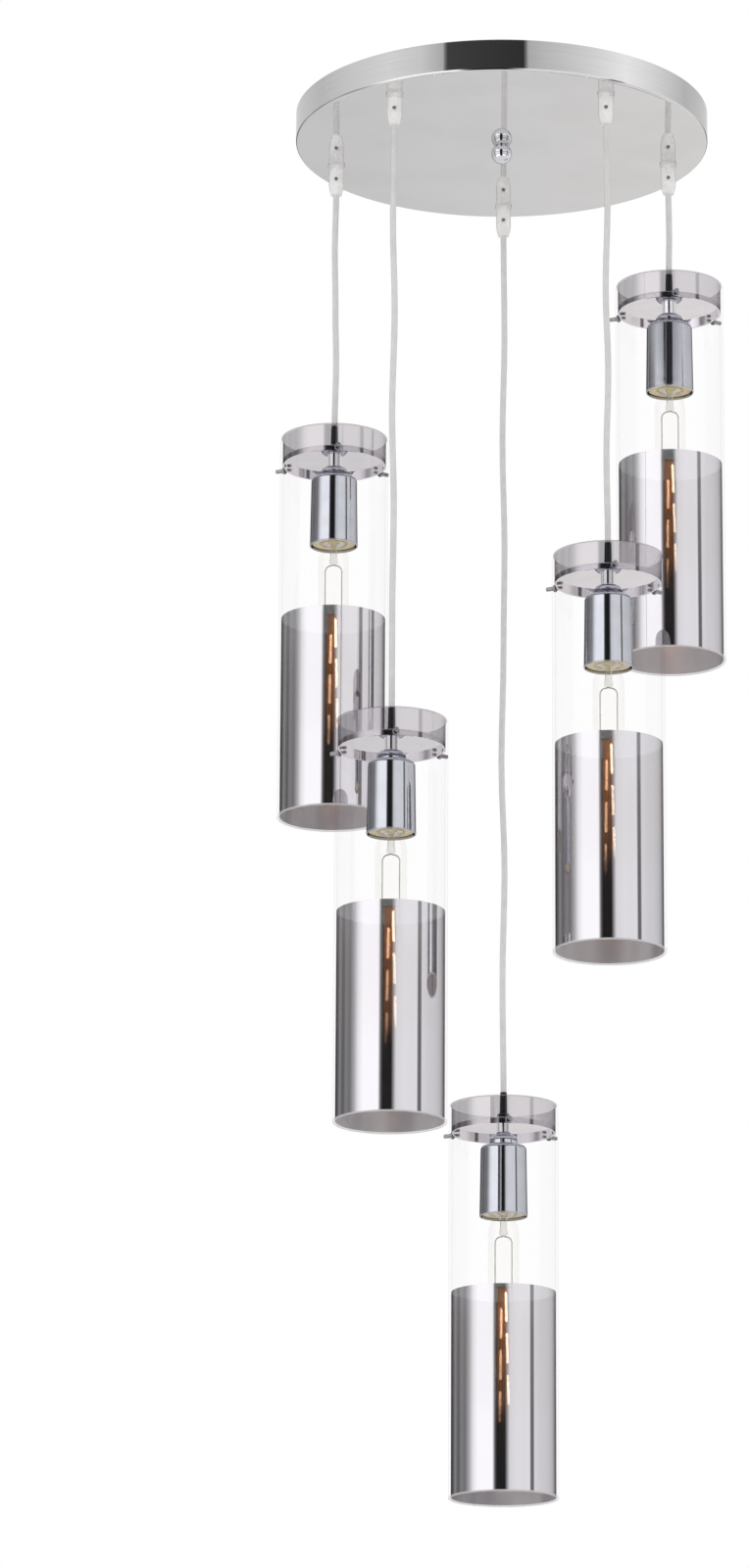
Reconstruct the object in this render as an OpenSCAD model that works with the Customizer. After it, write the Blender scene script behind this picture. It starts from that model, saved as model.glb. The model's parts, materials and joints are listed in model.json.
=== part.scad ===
/*
A cluster of five pendant lamps under one round chrome ceiling canopy.
Each lamp hangs on its own clear cord: an open glass cylinder is held by three thumb screws
on a round carrier plate, above a chrome lampholder with a long tube bulb.
The origin is on the ceiling, over the middle of the canopy, and everything hangs below it.
Heights inside a lamp are counted from the level where the coated top band of its glass ends.
*/

/* [Canopy] */
// Outside diameter of the round ceiling canopy
canopy_d = 400; // [380:5:460]
// Height of the canopy, from the ceiling to its underside
canopy_h = 31; // [28:1:40]
// Thickness of the canopy's sheet metal
canopy_wall = 1.2; // [0.8:0.1:2]
// Radius of the canopy's rounded lower edge
canopy_edge_r = 2.5; // [2.5:0.5:6]
// Radius of the circle on which the five cords leave the canopy
exit_circle_r = 171; // [150:1:176]

/* [Ceiling fixing] */
// Length of the bracket strip that is screwed to the ceiling
bracket_l = 120; // [110:5:160]
// Width of the bracket strip
bracket_w = 20; // [16:1:30]
// Thickness of the bracket strip
bracket_t = 2.5; // [2:0.5:3]
// Depth of the bracket's sunken middle, where the nut has its room
bracket_drop = 6; // [5.5:0.5:8]
// Distance between the middles of the two ceiling screw slots
slot_spacing = 96; // [90:2:100]
// Width of a ceiling screw slot
slot_w = 5; // [4:0.5:6]
// Length of a ceiling screw slot from end to end
slot_l = 16; // [10:1:18]
// Diameter of the threaded rod that carries the canopy
rod_d = 6; // [5:0.5:8]
// Width of the rod's nuts across their flats
rod_nut_af = 10; // [9:1:13]
// Diameter of the ball nut under the canopy
ball_d = 20; // [18:1:26]
// Height from the middle of the ball nut up to its flat seat
ball_seat = 8; // [6:0.5:8.5]

/* [Wiring] */
// Diameter of the clear cords
cord_d = 6; // [5:0.2:6]
// Diameter of the terminal box in the canopy
box_d = 84; // [76:2:100]
// Height of the terminal box
box_h = 15; // [12:1:17]
// Diameter of the hole in the middle of the terminal box, round the rod
box_hole_d = 18; // [16:1:22]
// Diameter of the inlet in the terminal box for the supply cable
inlet_d = 10; // [8:0.5:12]
// Depth of that inlet
inlet_depth = 10; // [6:1:11]

/* [Cord grips] */
// Length of a cord grip below the canopy
grip_l = 31; // [30:1:44]
// Diameter of the grip's flange against the canopy
grip_flange_d = 16.6; // [16:0.2:20]
// Thickness of that flange
grip_flange_h = 2.4; // [2:0.2:4]
// Diameter of the grip's body
grip_body_d = 14.6; // [13:0.2:15]
// Diameter of the grip's lower end
grip_tip_d = 10; // [9.6:0.2:12]
// Diameter of the grip's threaded neck through the canopy
grip_neck_d = 10; // [9:0.5:11]
// Length of that neck above the canopy's underside
grip_neck_l = 10; // [8:0.5:12]
// Width of the grip's lock nut across its flats
grip_nut_af = 15; // [13:1:18]
// Height of the grip's lock nut
grip_nut_h = 4; // [3:0.5:6]
// Diameter of the clamping screw in the side of a grip
grip_screw_d = 3.6; // [3:0.2:4.4]
// Distance from the canopy's underside down to the clamping screw
grip_screw_drop = 16; // [12:1:20]

/* [Lamp heights] */
// Distance from the ceiling down to the first lamp's band edge
drop_1 = 185; // [160:5:260]
// Distance from the ceiling down to the second lamp's band edge
drop_2 = 340; // [300:5:400]
// Distance from the ceiling down to the third lamp's band edge
drop_3 = 518; // [460:2:580]
// Distance from the ceiling down to the fourth lamp's band edge
drop_4 = 677; // [620:1:740]
// Distance from the ceiling down to the fifth lamp's band edge
drop_5 = 975; // [900:5:1400]

/* [Glass shade] */
// Outside diameter of the glass cylinder
shade_d = 105; // [95:1:130]
// Thickness of the glass
shade_wall = 2.5; // [2:0.1:3.5]
// Height of the coated band at the top of the glass
band_h = 27; // [20:1:40]
// Height of the glass below that band
shade_drop = 353; // [300:1:420]

/* [Shade carrier] */
// Thickness of the carrier plate
plate_t = 1.4; // [1:0.1:2]
// Height of the carrier's turned-down rim below the plate
rim_h = 4.6; // [4.4:0.1:8]
// Thickness of that rim
rim_t = 1.2; // [1:0.1:2]
// Angle of the first thumb screw, seen from above
screw_angle = 36; // [0:1:119]
// Diameter of a thumb screw's thread
screw_d = 3; // [2:0.1:3.4]
// Diameter of a thumb screw's collar
screw_collar_d = 7; // [5:0.5:9]
// Thickness of that collar
screw_collar_t = 2.6; // [1.5:0.1:4]
// Diameter of a thumb screw's knob
screw_knob_d = 4; // [3.4:0.2:5]
// Length of that knob
screw_knob_l = 7.6; // [4:0.2:12]

/* [Strain relief] */
// Diameter of the strain relief's base on the carrier
relief_base_d = 12.6; // [11:0.2:16]
// Height of that base
relief_base_h = 13; // [8:0.5:16]
// Diameter of the strain relief's sleeve at its foot
relief_foot_d = 7.2; // [6.6:0.2:9]
// Diameter of the sleeve at its top, round the cord
relief_top_d = 6.4; // [6:0.2:8]
// Height of the sleeve's top above the band edge
relief_top = 40; // [32:1:60]
// Diameter of the relief's threaded neck through the carrier
relief_neck_d = 10; // [8:0.5:11]

/* [Lampholder] */
// Diameter of the holder's collar under the carrier
collar_d = 14; // [13:0.5:20]
// Length of that collar
collar_h = 6.6; // [5:0.2:10]
// Diameter of the holder's dome
dome_d = 27; // [24:1:34]
// Height of the dome
dome_h = 10.5; // [8:0.5:14]
// Diameter of the holder's cup at its shoulder
cup_top_d = 44; // [41:0.5:45.5]
// Diameter of the cup at its mouth
cup_mouth_d = 46; // [43.2:0.2:54]
// Height of the cup below its shoulder
cup_h = 69; // [64:1:90]
// Thickness of the cup's sheet metal
cup_wall = 1; // [0.6:0.1:1.6]
// Radius of the cup's rounded shoulder
shoulder_r = 4; // [3:0.5:6]
// Depth of the socket's lower face inside the cup's mouth
socket_recess = 2.4; // [1:0.2:5]

/* [Bulb] */
// Diameter of the bulb's screw cap
cap_d = 26.4; // [26:0.1:27]
// Height of the screw cap with its contact
cap_h = 27; // [25:0.5:29]
// Distance between two turns of the cap's thread
cap_pitch = 3.6; // [3:0.1:4]
// Diameter of the bulb's tube
bulb_d = 30; // [28:1:38]
// Length of the bulb from its contact to its tip
bulb_l = 240; // [205:5:300]
// Thickness of the bulb's glass
bulb_wall = 0.8; // [0.5:0.1:1.2]
// Distance between the two support wires in the bulb
wire_span = 16; // [12:1:20]
// Thickness of a support wire
wire_d = 1; // [0.6:0.1:1.4]
// Diameter of a glowing stick
stick_d = 2.4; // [1.8:0.1:3]
// Length of a glowing stick
stick_l = 29; // [20:1:30]
// Distance from the start of one stick to the start of the next in the same string
stick_pitch = 40; // [34:1:40]

/* [Hidden] */

// Fit of a thread in its hole, on the radius
thread_gap = 0.05;
// Fit of a loose hole round what passes through it, on the radius
loose_gap = 0.3;
// Overshoot of a cut past the face that it opens
cut = 1;
// Facets shown on the large and the small round surfaces
round_fn = 144;
small_fn = 48;

// Lamps are counted from the highest to the lowest
lamp_drop = [drop_1, drop_2, drop_3, drop_4, drop_5];
lamp_angle = [18, 162, 306, 234, 90];

// Heights in the canopy
floor_z = canopy_wall - canopy_h;
rod_top_clear = 0.8;
rod_bite = 6;
rod_nut_h = 5;
bracket_foot_land = 3;
box_lid_h = 2;
box_lid_lip = 0.8;
box_entry_d = cord_d + 4;
box_entry_l = 4;
box_entry_root = 1;
box_entry_z = floor_z + (box_h - box_lid_h) / 2;
// Bend of a cord's inner end, as the radius and the height of its two handles
inner_rise = [exit_circle_r, 13];
inner_fall = [80, -25];

// The grip's bore holds the cord still down to its throat, and below it flares for the swing
grip_bore_gap = 0.3;
grip_throat = 4;
grip_throat_gap = 0.55;
grip_flare = 0.85;
swing_gap = 0.7;
grip_groove = 0.4;
grip_land = 1;
grip_head_out = 0.6;
grip_slot = 0.8;
swing_z = -canopy_h - grip_l + grip_throat;

// The free cord runs from the grip's throat to the top of the strain relief
cord_sides = 10;
cord_step = 32;
tail_sides = 8;
tail_steps = 12;
// Sideways lean of each cord, in mm along X and Y, at equal steps from its top to its end
cord_route = [
    [[0, 0], [0.5, 0], [0, 0]],
    [[0, 0], [-1, 0], [0, 1], [1, 0], [0, 0]],
    [[0, 0], [1, 0], [-1, 1], [1, 0], [-1, 0], [0, 0]],
    [[0, 0], [-1, 0], [1, 0], [-1, 1], [1, 0], [0, 0], [0, 0]],
    [[0, 0], [1, 0], [-1, 0], [1, 1], [0, 0], [-2, 0], [1, 0], [-1, 0], [0, 0]]
];

// Carrier, glass and screws
shade_r = shade_d / 2;
shade_bore_r = shade_r - shade_wall;
carrier_gap = 0.6;
carrier_r = shade_bore_r - carrier_gap;
plate_low = rim_h;
plate_top = rim_h + plate_t;
screw_count = 3;
screw_z = rim_h / 2;
screw_bite = 1.5;
collar_gap = 0.3;
shade_hole_d = screw_d + 1.2;
knob_round = 0.8;

// Lampholder heights, all below the carrier plate
collar_low = plate_low - collar_h;
shoulder_z = collar_low - dome_h;
cup_low = shoulder_z - cup_h;
cup_bead = 0.7;
dome_round = 6;
relief_neck_low = collar_low - 3;
relief_chamfer = 0.4;
relief_round = 2;
socket_gap = 0.3;
socket_low = cup_low + socket_recess;
socket_d = cup_top_d - 2 * cup_wall - 2 * socket_gap;
socket_bore_d = cap_d + 0.8;
socket_web = 4;
socket_grooves = [8, 16, 24];
socket_groove_h = 2;
socket_groove_depth = 0.6;

// Bulb heights
cap_gap = 0.3;
cap_low = socket_low;
cap_top = cap_low + cap_h;
cap_ridge = 0.7;
cap_turns = 5;
cap_lip_h = 2;
cap_round = 0.2;
contact_round = 1;
contact_d = 9;
contact_h = 2.4;
insulator_h = 3;
neck_r = cap_d / 2 - 1;
neck_h = 14;
neck_straight = 4;
neck_steps = 6;
tip_steps = 12;
bulb_r = bulb_d / 2;
bulb_low = cap_top - bulb_l;
seal_gap = 0.15;
stem_d = 6.4;
stem_flare_h = 1.2;
stem_h = 14;
pinch_w = 8;
pinch_t = 3;
pinch_h = 7;
pinch_root = 0.5;
wire_tip_gap = 12;
// Each string of sticks as its sideways place at its top, its place at its foot, the depth of
// its first stick below the upper cross wire, and its number of sticks
stick_strings = [[-1.8, -3.6, 20, 3], [2, 5.2, 4, 3]];
string_h = 130;
string_wire_d = 0.8;

function exit_at(n) = [exit_circle_r * cos(lamp_angle[n]), exit_circle_r * sin(lamp_angle[n])];

function blend(a, b, f) = a + (b - a) * (1 - cos(180 * f)) / 2;

// Sideways lean of cord n at the share s of its length
function cord_lean(n, s) =
    let (last = len(cord_route[n]) - 1)
    let (i = min(floor(s * last), last - 1))
    blend(cord_route[n][i], cord_route[n][i + 1], s * last - i);

function cord_low(n) = relief_top - lamp_drop[n];

function cord_rings(n) = ceil((swing_z - cord_low(n)) / cord_step);

function cord_middle(n, s) =
    let (lean = cord_lean(n, s))
    let (place = exit_at(n))
    [place.x + lean.x, place.y + lean.y, swing_z + (cord_low(n) - swing_z) * s];

function circle_points(r, sides) =
    [for (k = [0 : sides - 1]) r * [cos(360 * k / sides), sin(360 * k / sides)]];

// Triangles of a closed tube through rings of points, the first ring at the top or outer end
function tube_faces(rings, sides) = concat(
    [[for (k = [sides - 1 : -1 : 0]) k]],
    [for (i = [0 : rings - 2], k = [0 : sides - 1])
        [(i + 1) * sides + (k + 1) % sides, (i + 1) * sides + k, i * sides + k]],
    [for (i = [0 : rings - 2], k = [0 : sides - 1])
        [i * sides + (k + 1) % sides, (i + 1) * sides + (k + 1) % sides, i * sides + k]],
    [[for (k = [0 : sides - 1]) (rings - 1) * sides + k]]
);

function bezier(p, t) =
    pow(1 - t, 3) * p[0] + 3 * pow(1 - t, 2) * t * p[1] + 3 * (1 - t) * t * t * p[2] + pow(t, 3) * p[3];

function bezier_slope(p, t) =
    3 * pow(1 - t, 2) * (p[1] - p[0]) + 6 * (1 - t) * t * (p[2] - p[1]) + 3 * t * t * (p[3] - p[2]);

module ring_slab(r_out, r_in, z_low, z_top) {
    translate([0, 0, z_low])
        difference() {
            cylinder(r = r_out, h = z_top - z_low, $fn = round_fn);
            translate([0, 0, -cut]) cylinder(r = r_in, h = z_top - z_low + 2 * cut, $fn = round_fn);
        }
}

module at_exits() {
    for (n = [0 : 4])
        translate([exit_at(n).x, exit_at(n).y, -canopy_h])
            children();
}

module at_lamp(n) {
    translate([exit_at(n).x, exit_at(n).y, -lamp_drop[n]])
        children();
}

// Half outline of a pan with a rounded lower edge, open upwards from height 0
module pan_outline(r, depth, edge, above) {
    translate([0, -depth + edge]) square([r, depth - edge + above]);
    translate([0, -depth]) square([r - edge, edge + above]);
    translate([r - edge, edge - depth]) circle(r = edge, $fn = small_fn);
}

module canopy() {
    color("silver")
        difference() {
            rotate_extrude($fn = round_fn)
                difference() {
                    pan_outline(canopy_d / 2, canopy_h, canopy_edge_r, 0);
                    pan_outline(canopy_d / 2 - canopy_wall, canopy_h - canopy_wall,
                        canopy_edge_r - canopy_wall, cut);
                }
            at_exits()
                translate([0, 0, -cut])
                    cylinder(d = grip_neck_d + 2 * loose_gap, h = canopy_wall + 2 * cut, $fn = small_fn);
            translate([0, 0, -canopy_h - cut])
                cylinder(d = rod_d + 2 * loose_gap, h = canopy_wall + 2 * cut, $fn = small_fn);
        }
}

module slot_cut(length, width, depth) {
    run = length - width;
    for (side = [-1, 1])
        translate([side * run / 2, 0, 0]) cylinder(d = width, h = depth, $fn = small_fn);
    translate([-run / 2, -width / 2, 0]) cube([run, width, depth]);
}

// Strip bent down in the middle, with 45 degree slopes
module ceiling_bracket() {
    foot = (slot_spacing - slot_l) / 2 - bracket_foot_land;
    lean = bracket_t * tan(22.5);
    half = [
        [bracket_l / 2, 0], [bracket_l / 2, -bracket_t],
        [foot + lean, -bracket_t], [foot - bracket_drop + lean, -bracket_drop - bracket_t]
    ];
    inner = [[foot - bracket_drop, -bracket_drop], [foot, 0]];
    outline = concat(
        half,
        [for (i = [len(half) - 1 : -1 : 0]) [-half[i].x, half[i].y]],
        [for (i = [len(inner) - 1 : -1 : 0]) [-inner[i].x, inner[i].y]],
        inner
    );
    color("gainsboro")
        difference() {
            rotate([90, 0, 0])
                linear_extrude(height = bracket_w, center = true) polygon(outline);
            for (side = [-1, 1])
                translate([side * slot_spacing / 2, 0, -bracket_t - cut])
                    slot_cut(slot_l, slot_w, bracket_t + 2 * cut);
            translate([0, 0, -bracket_drop - bracket_t - cut])
                cylinder(d = rod_d + 2 * loose_gap, h = bracket_t + 2 * cut, $fn = small_fn);
        }
}

module canopy_rod() {
    rod_low = -canopy_h - rod_bite;
    color("lightgray")
        translate([0, 0, rod_low])
            cylinder(d = rod_d, h = -rod_top_clear - rod_low, $fn = small_fn);
}

module hex_nut(across, height, bore_d) {
    difference() {
        cylinder(d = across / cos(30), h = height, $fn = 6);
        translate([0, 0, -cut]) cylinder(d = bore_d, h = height + 2 * cut, $fn = small_fn);
    }
}

module rod_nuts() {
    bore_d = rod_d + 2 * thread_gap;
    color("lightgray") {
        translate([0, 0, -bracket_drop])
            hex_nut(rod_nut_af, bracket_drop - rod_top_clear, bore_d);
        translate([0, 0, -bracket_drop - bracket_t - rod_nut_h])
            hex_nut(rod_nut_af, rod_nut_h, bore_d);
    }
}

module ball_nut() {
    color("silver")
        translate([0, 0, -canopy_h - ball_seat])
            difference() {
                sphere(d = ball_d, $fn = round_fn);
                translate([-ball_d, -ball_d, ball_seat]) cube([2 * ball_d, 2 * ball_d, ball_d]);
                translate([0, 0, ball_seat - rod_bite - loose_gap])
                    cylinder(d = rod_d + 2 * thread_gap, h = ball_d, $fn = small_fn);
            }
}

module terminal_box() {
    color("whitesmoke")
        difference() {
            union() {
                ring_slab(box_d / 2, box_hole_d / 2, floor_z, floor_z + box_h - box_lid_h);
                ring_slab(box_d / 2 + box_lid_lip, box_hole_d / 2, floor_z + box_h - box_lid_h,
                    floor_z + box_h);
                for (angle = lamp_angle)
                    rotate([0, 0, angle])
                        translate([box_d / 2 - box_entry_root, 0, box_entry_z])
                            rotate([0, 90, 0])
                                cylinder(d = box_entry_d, h = box_entry_l + box_entry_root,
                                    $fn = small_fn);
            }
            translate([0, -(box_d + box_hole_d) / 4, floor_z + box_h - inlet_depth])
                cylinder(d = inlet_d, h = inlet_depth + cut, $fn = small_fn);
        }
}

// Half outline of a cord grip, with height 0 at the canopy's underside
module grip_outline() {
    tip = -grip_l;
    throat = tip + grip_throat;
    bore_r = cord_d / 2 + grip_bore_gap;
    throat_r = cord_d / 2 + grip_throat_gap;
    body_low = -grip_screw_drop - grip_screw_d - grip_land;
    polygon([
        [bore_r, grip_neck_l], [grip_neck_d / 2, grip_neck_l], [grip_neck_d / 2, 0],
        [grip_flange_d / 2, 0], [grip_flange_d / 2, -grip_flange_h],
        [grip_body_d / 2 - grip_groove, -grip_flange_h - grip_groove],
        [grip_body_d / 2 - grip_groove, -grip_flange_h - 3 * grip_groove],
        [grip_body_d / 2, -grip_flange_h - 4 * grip_groove],
        [grip_body_d / 2, body_low],
        [(grip_body_d * 2 + grip_tip_d) / 6, (tip + body_low) / 2],
        [grip_tip_d / 2, tip],
        [throat_r + grip_flare, tip], [throat_r, throat], [throat_r, throat + swing_gap],
        [bore_r, throat + swing_gap]
    ]);
}

module cord_grips() {
    color([0.85, 0.87, 0.86, 0.6])
        at_exits()
            difference() {
                rotate_extrude($fn = small_fn) grip_outline();
                translate([0, 0, -grip_screw_drop])
                    rotate([90, 0, 0])
                        cylinder(d = grip_screw_d + 2 * thread_gap, h = grip_flange_d, $fn = small_fn);
            }
}

module grip_lock_nuts() {
    color("lightgray")
        at_exits()
            translate([0, 0, canopy_wall])
                hex_nut(grip_nut_af, grip_nut_h, grip_neck_d + 2 * thread_gap);
}

// Slotted clamping screws, one in the front of each grip
module grip_screws() {
    tip_y = cord_d / 2 + thread_gap;
    screw_l = grip_body_d / 2 + grip_head_out - tip_y;
    color("dimgray")
        at_exits()
            translate([0, -tip_y, -grip_screw_drop])
                rotate([90, 0, 0])
                    difference() {
                        cylinder(d = grip_screw_d, h = screw_l, $fn = small_fn);
                        translate([-grip_screw_d, -grip_slot / 2, screw_l - grip_slot])
                            cube([2 * grip_screw_d, grip_slot, grip_slot + cut]);
                    }
}

// Clamped end of each cord: up through the grip, over and down into the terminal box
module inner_cord_ends() {
    grip_top_z = grip_neck_l - canopy_h;
    box_end = [box_d / 2 + box_entry_l, box_entry_z];
    bend = [[exit_circle_r, grip_top_z], inner_rise, inner_fall, box_end];
    section = circle_points(cord_d / 2, tail_sides);
    start = [for (p = section) [exit_circle_r + p.x, p.y, swing_z + swing_gap]];
    turns = [for (i = [0 : tail_steps], p = section)
        let (mid = bezier(bend, i / tail_steps))
        let (slope = bezier_slope(bend, i / tail_steps))
        let (side = [slope[1], -slope[0]] / norm(slope))
        [mid[0] + side[0] * p.x, p.y, mid[1] + side[1] * p.x]];
    color([0.8, 0.82, 0.82, 0.7])
        for (angle = lamp_angle)
            rotate([0, 0, angle])
                polyhedron(
                    points = concat(start, turns),
                    faces = tube_faces(tail_steps + 2, tail_sides)
                );
}

// Free stretch of cord n, with level rings
module cord(n) {
    rings = cord_rings(n) + 1;
    section = circle_points(cord_d / 2, cord_sides);
    color([0.8, 0.82, 0.82, 0.7])
        polyhedron(
            points = [for (i = [0 : rings - 1], p = section)
                let (mid = cord_middle(n, i / (rings - 1)))
                [mid.x + p.x, mid.y + p.y, mid.z]],
            faces = tube_faces(rings, cord_sides)
        );
}

module strain_relief(n) {
    base_r = relief_base_d / 2;
    color("#222222")
        at_lamp(n)
            rotate_extrude($fn = small_fn) {
                translate([0, relief_neck_low])
                    square([relief_neck_d / 2, plate_top - relief_neck_low]);
                translate([0, plate_top]) square([base_r, relief_base_h - relief_round]);
                translate([0, plate_top]) square([base_r - relief_round, relief_base_h]);
                translate([base_r - relief_round, plate_top + relief_base_h - relief_round])
                    circle(r = relief_round, $fn = small_fn);
                polygon([
                    [0, plate_top], [relief_foot_d / 2, plate_top],
                    [relief_foot_d / 2, plate_top + relief_base_h],
                    [relief_top_d / 2, relief_top - relief_chamfer],
                    [relief_top_d / 2 - relief_chamfer, relief_top],
                    [0, relief_top]
                ]);
            }
}

module at_screws() {
    for (k = [0 : screw_count - 1])
        rotate([0, 0, screw_angle + k * 360 / screw_count])
            translate([0, 0, screw_z])
                rotate([0, 90, 0])
                    children();
}

module shade_carrier(n) {
    color("silver")
        at_lamp(n)
            difference() {
                rotate_extrude($fn = round_fn)
                    difference() {
                        union() {
                            square([carrier_r, plate_top - rim_t]);
                            translate([0, plate_top - rim_t]) square([carrier_r - rim_t, rim_t]);
                            translate([carrier_r - rim_t, plate_top - rim_t])
                                circle(r = rim_t, $fn = small_fn);
                        }
                        translate([-cut, -cut]) square([carrier_r - rim_t + cut, plate_low + cut]);
                    }
                translate([0, 0, -cut])
                    cylinder(d = relief_neck_d + 2 * thread_gap, h = plate_top + 2 * cut, $fn = small_fn);
                at_screws()
                    translate([0, 0, carrier_r - 2 * rim_t])
                        cylinder(d = screw_d + 2 * thread_gap, h = 4 * rim_t, $fn = small_fn);
            }
}

// Half outline of a thumb screw along its length, from its tip inside the carrier's rim
module thumb_screw_outline() {
    collar_at = shade_r + collar_gap;
    knob_at = collar_at + screw_collar_t;
    tip_at = carrier_r - rim_t - screw_bite;
    translate([0, tip_at]) square([screw_d / 2, collar_at - tip_at]);
    translate([0, collar_at]) square([screw_collar_d / 2 - knob_round, screw_collar_t]);
    translate([0, collar_at + knob_round])
        square([screw_collar_d / 2, screw_collar_t - 2 * knob_round]);
    for (h = [knob_round, screw_collar_t - knob_round])
        translate([screw_collar_d / 2 - knob_round, collar_at + h]) circle(r = knob_round, $fn = small_fn);
    translate([0, knob_at]) square([screw_knob_d / 2, screw_knob_l - knob_round]);
    translate([0, knob_at]) square([screw_knob_d / 2 - knob_round, screw_knob_l]);
    translate([screw_knob_d / 2 - knob_round, knob_at + screw_knob_l - knob_round])
        circle(r = knob_round, $fn = small_fn);
}

module thumb_screws(n) {
    color("darkgray")
        at_lamp(n)
            at_screws()
                rotate_extrude($fn = small_fn)
                    thumb_screw_outline();
}

// Half outline of a drum whose upper edge is rounded
module round_top(r, z_low, z_top, corner) {
    translate([0, z_low]) square([r - corner, z_top - z_low]);
    translate([0, z_low]) square([r, z_top - corner - z_low]);
    translate([r - corner, z_top - corner]) circle(r = corner, $fn = small_fn);
}

// Half outline of the lampholder's dome, shoulder and tapered cup, drawn in by an inset
module holder_outline(inset) {
    top_r = cup_top_d / 2 - inset;
    wall_top = shoulder_z - shoulder_r;
    round_top(dome_d / 2 - inset, wall_top, collar_low - inset, dome_round - inset);
    round_top(top_r, wall_top - cut, shoulder_z - inset, shoulder_r - inset);
    polygon([[0, wall_top], [top_r, wall_top], [cup_mouth_d / 2 - inset, cup_low], [0, cup_low]]);
}

module lampholder_cup(n) {
    mouth_r = cup_mouth_d / 2;
    color("silver")
        at_lamp(n)
            difference() {
                union() {
                    rotate_extrude($fn = round_fn) holder_outline(0);
                    rotate_extrude($fn = round_fn)
                        translate([mouth_r - cup_wall / 2, cup_low + cup_bead])
                            circle(r = cup_bead, $fn = small_fn);
                    translate([0, 0, collar_low - cut])
                        cylinder(d = collar_d, h = collar_h + cut, $fn = small_fn);
                }
                rotate_extrude($fn = round_fn) holder_outline(cup_wall);
                translate([0, 0, cup_low - cut])
                    cylinder(r = mouth_r - cup_wall, h = 2 * cut, $fn = round_fn);
                translate([0, 0, collar_low - 2 * cut])
                    cylinder(d = relief_neck_d + 2 * thread_gap, h = collar_h + 3 * cut, $fn = small_fn);
            }
}

// Moulded socket insert, open below for the screw cap
module socket(n) {
    top = shoulder_z - cup_wall;
    bore_top = cap_top + cap_gap;
    color("wheat")
        at_lamp(n)
            rotate_extrude($fn = round_fn)
                difference() {
                    union() {
                        translate([0, socket_low]) square([socket_d / 2, top - shoulder_r - socket_low]);
                        translate([0, socket_low]) square([dome_d / 2, top - socket_low]);
                    }
                    translate([-cut, socket_low - cut])
                        square([socket_bore_d / 2 + cut, bore_top - socket_low + cut]);
                    translate([-cut, bore_top])
                        square([contact_d / 2 + cut, top - bore_top - socket_web]);
                    for (h = socket_grooves)
                        translate([socket_d / 2 - socket_groove_depth, socket_low + h])
                            square([socket_groove_depth + cut, socket_groove_h]);
                }
}

// Open glass cylinder with rounded rims and three screw holes
module glass_shade(n) {
    rim = shade_wall / 2;
    color([0.86, 0.88, 0.9, 0.5])
        at_lamp(n)
            difference() {
                rotate_extrude($fn = round_fn) {
                    translate([shade_bore_r, rim - shade_drop])
                        square([shade_wall, band_h + shade_drop - shade_wall]);
                    for (h = [rim - shade_drop, band_h - rim])
                        translate([shade_bore_r + rim, h]) circle(r = rim, $fn = small_fn);
                }
                at_screws()
                    translate([0, 0, shade_bore_r - cut])
                        cylinder(d = shade_hole_d, h = shade_wall + 2 * cut, $fn = small_fn);
            }
}

// Screw cap with rounded thread turns, insulator and contact
module bulb_cap(n) {
    body_r = cap_d / 2 - cap_ridge;
    shell_top = cap_top - contact_h - insulator_h;
    color("lightgray")
        at_lamp(n)
            rotate_extrude($fn = round_fn)
                intersection() {
                    union() {
                        translate([0, cap_low]) square([body_r, shell_top - cap_low]);
                        translate([0, cap_low]) square([cap_d / 2, cap_lip_h]);
                        for (k = [1 : cap_turns])
                            translate([body_r - cap_round, cap_low + cap_lip_h + k * cap_pitch])
                                circle(r = cap_ridge + cap_round, $fn = small_fn);
                        polygon([
                            [0, shell_top], [body_r, shell_top],
                            [contact_d / 2 + contact_round, cap_top - contact_h],
                            [contact_d / 2, cap_top - contact_h],
                            [contact_d / 2, cap_top - contact_round],
                            [contact_d / 2 - contact_round, cap_top], [0, cap_top]
                        ]);
                    }
                    translate([0, cap_low]) square([cap_d, cap_h]);
                }
}

// Half outline of the bulb's glass: neck, shoulder, tube and round tip
module bulb_outline(inset, above) {
    neck = neck_r - inset;
    tube = bulb_r - inset;
    low = bulb_low + bulb_r;
    shoulder = [for (i = [0 : neck_steps])
        [blend(neck, tube, i / neck_steps), cap_low - neck_straight - neck_h * i / neck_steps]];
    tip = [for (i = [0 : tip_steps])
        [tube * cos(90 * i / tip_steps), low - tube * sin(90 * i / tip_steps)]];
    polygon(concat([[0, cap_low + above], [neck, cap_low + above]], shoulder, tip));
}

module bulb_glass(n) {
    color([0.95, 0.93, 0.88, 0.35])
        at_lamp(n)
            difference() {
                rotate_extrude($fn = round_fn) bulb_outline(0, 0);
                rotate_extrude($fn = round_fn) bulb_outline(bulb_wall, cut);
            }
}

// A string of glowing sticks on one wire, hung from the upper cross wire
module stick_string(top_x, foot_x, first, count) {
    translate([top_x, 0, 0])
        rotate([0, atan2(top_x - foot_x, string_h), 0]) {
            translate([0, 0, -string_h]) cylinder(d = string_wire_d, h = string_h, $fn = small_fn);
            for (k = [0 : count - 1])
                translate([0, 0, -first - k * stick_pitch - stick_l])
                    cylinder(d = stick_d, h = stick_l, $fn = small_fn);
        }
}

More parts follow.
